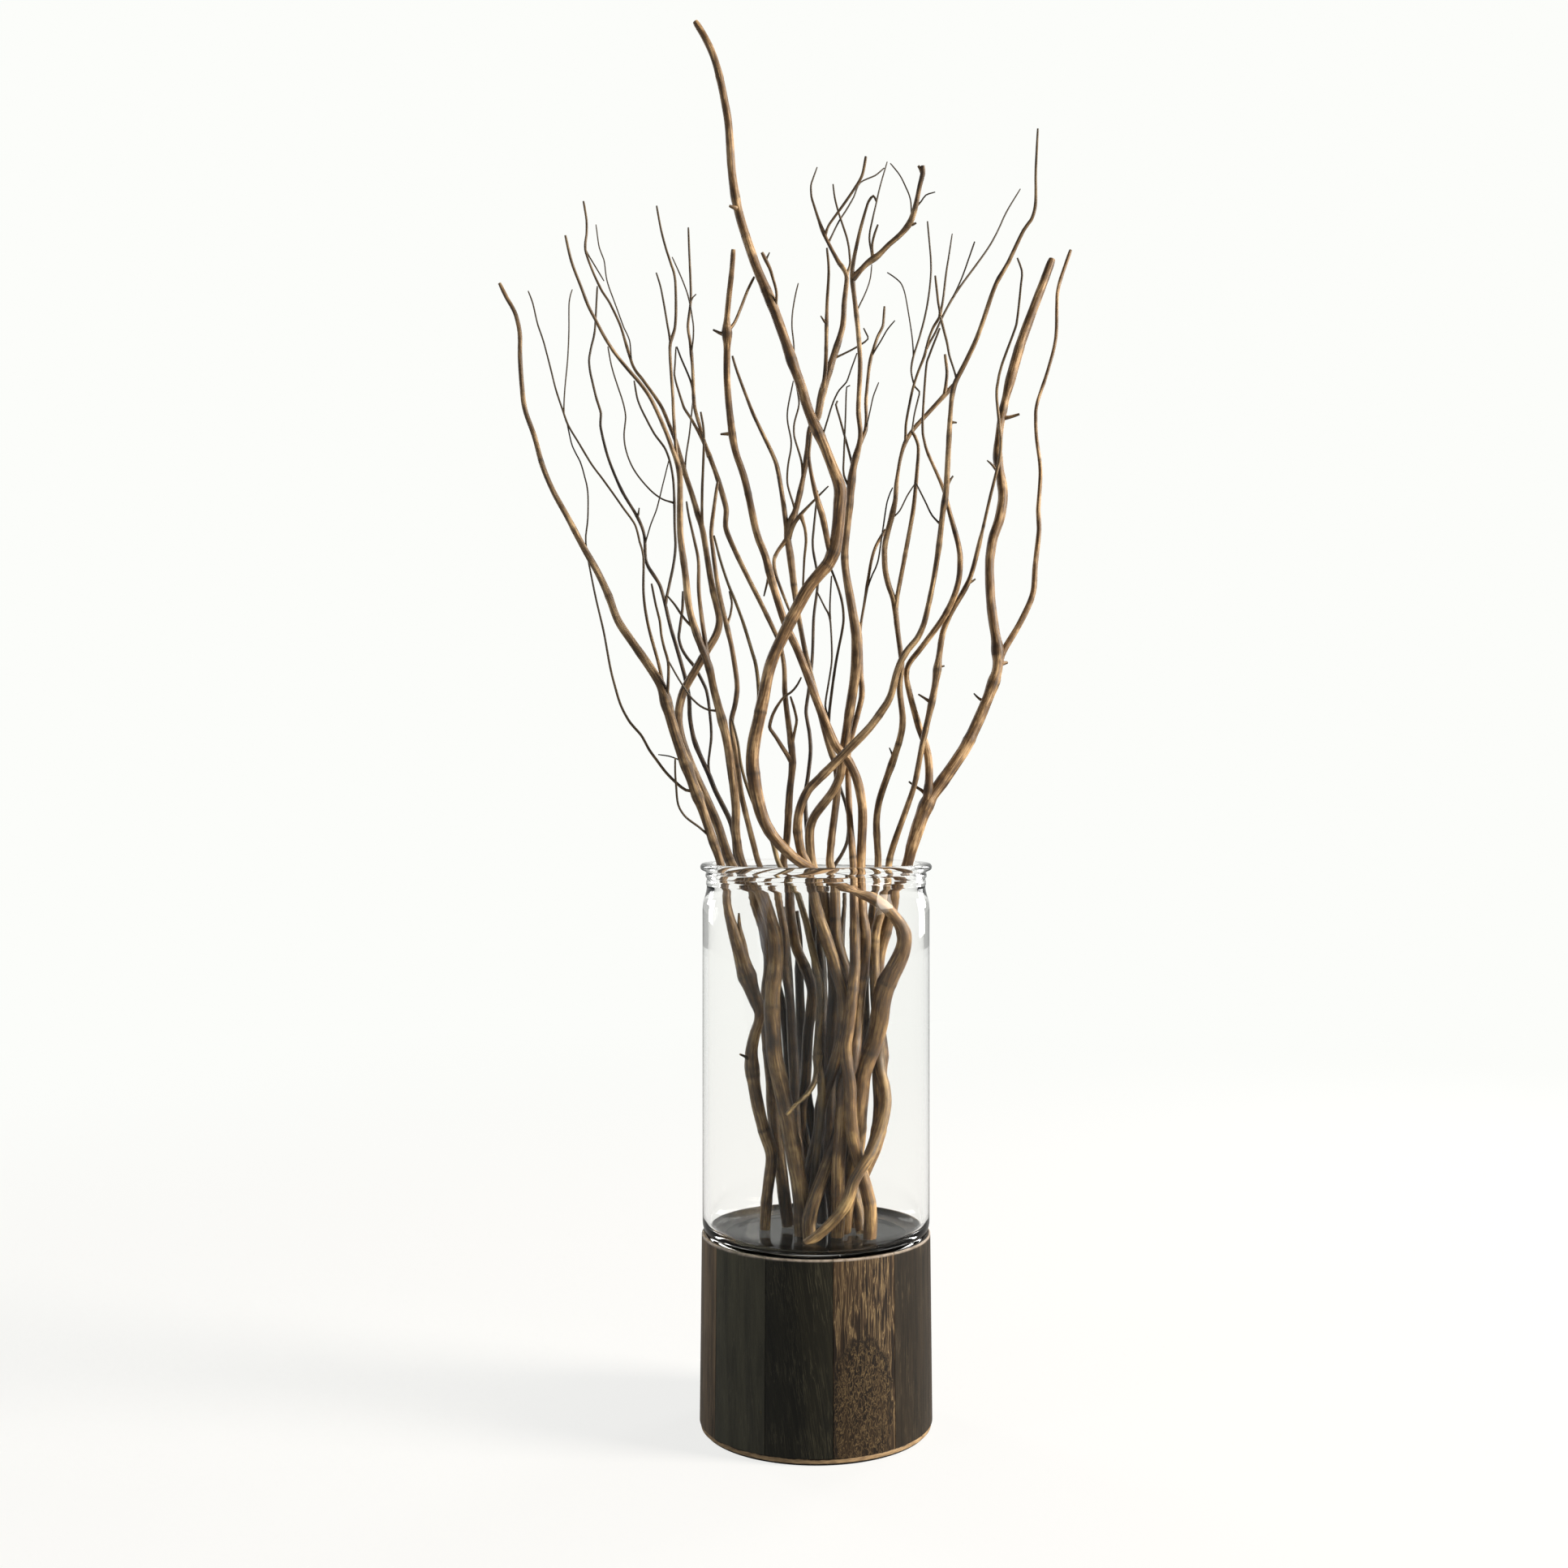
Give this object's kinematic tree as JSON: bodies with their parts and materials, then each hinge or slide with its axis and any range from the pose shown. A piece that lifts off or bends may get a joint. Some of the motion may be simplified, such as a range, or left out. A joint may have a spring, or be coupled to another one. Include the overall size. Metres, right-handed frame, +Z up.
{
  "type": "willow stems in vase",
  "caption": "Bare curly willow stems standing in a clear cylindrical glass vase with a rolled lip, seated in the recessed top of a dark wooden drum built of staves.",
  "frame": {"origin": "centre of the drum's flat foot, on the surface that it stands on", "axes": "+Z up along the vase's axis, -Y towards the front of the arrangement, +X to its right"},
  "size_m": [0.3824, 0.1973, 0.8972],
  "materials": {
    "bark_tan": "matte bark",
    "bark_light": "smooth matte bark",
    "bark_brown": "matte bark",
    "bark_olive": "matte bark",
    "bark_dark": "matte bark",
    "stave_black": "satin stained wood",
    "stave_green": "satin stained wood",
    "stave_dark": "satin stained wood",
    "stave_grey": "satin stained wood",
    "stave_brown": "satin stained wood",
    "stave_burl": "satin figured wood",
    "recess_black": "satin black paint",
    "board_tan": "bare wood edge",
    "felt_dark": "felt",
    "clear_glass": "clear polished"
  },
  "bodies": {
    "root": {"stem_outer_left": "bark_tan", "stem_left_curved": "bark_brown", "stem_left_leader": "bark_tan", "stem_dark_slender": "bark_dark", "stem_slim_left": "bark_brown", "stem_hooked": "bark_olive", "stem_mid_left": "bark_brown", "stem_front_loop": "bark_light", "stem_upper_right": "bark_tan", "stem_crown": "bark_brown", "stem_centre_back": "bark_brown", "stem_light_short": "bark_light", "stem_knotted": "bark_light", "stem_forked_right": "bark_brown", "stem_far_right_slim": "bark_tan", "stem_right_leader": "bark_light", "stem_inner_dark": "bark_dark", "stem_back_centre": "bark_dark", "stave_01": "stave_black", "stave_02": "stave_burl", "stave_03": "stave_grey", "stave_04": "stave_dark", "stave_05": "stave_brown", "stave_06": "stave_black", "stave_07": "stave_grey", "stave_08": "stave_burl", "stave_09": "stave_dark", "stave_10": "stave_brown", "stave_11": "stave_green", "vase": "clear_glass", "drum_deck": "recess_black", "bottom_board": "board_tan", "felt_pad": "felt_dark"}
  },
  "joints": []
}
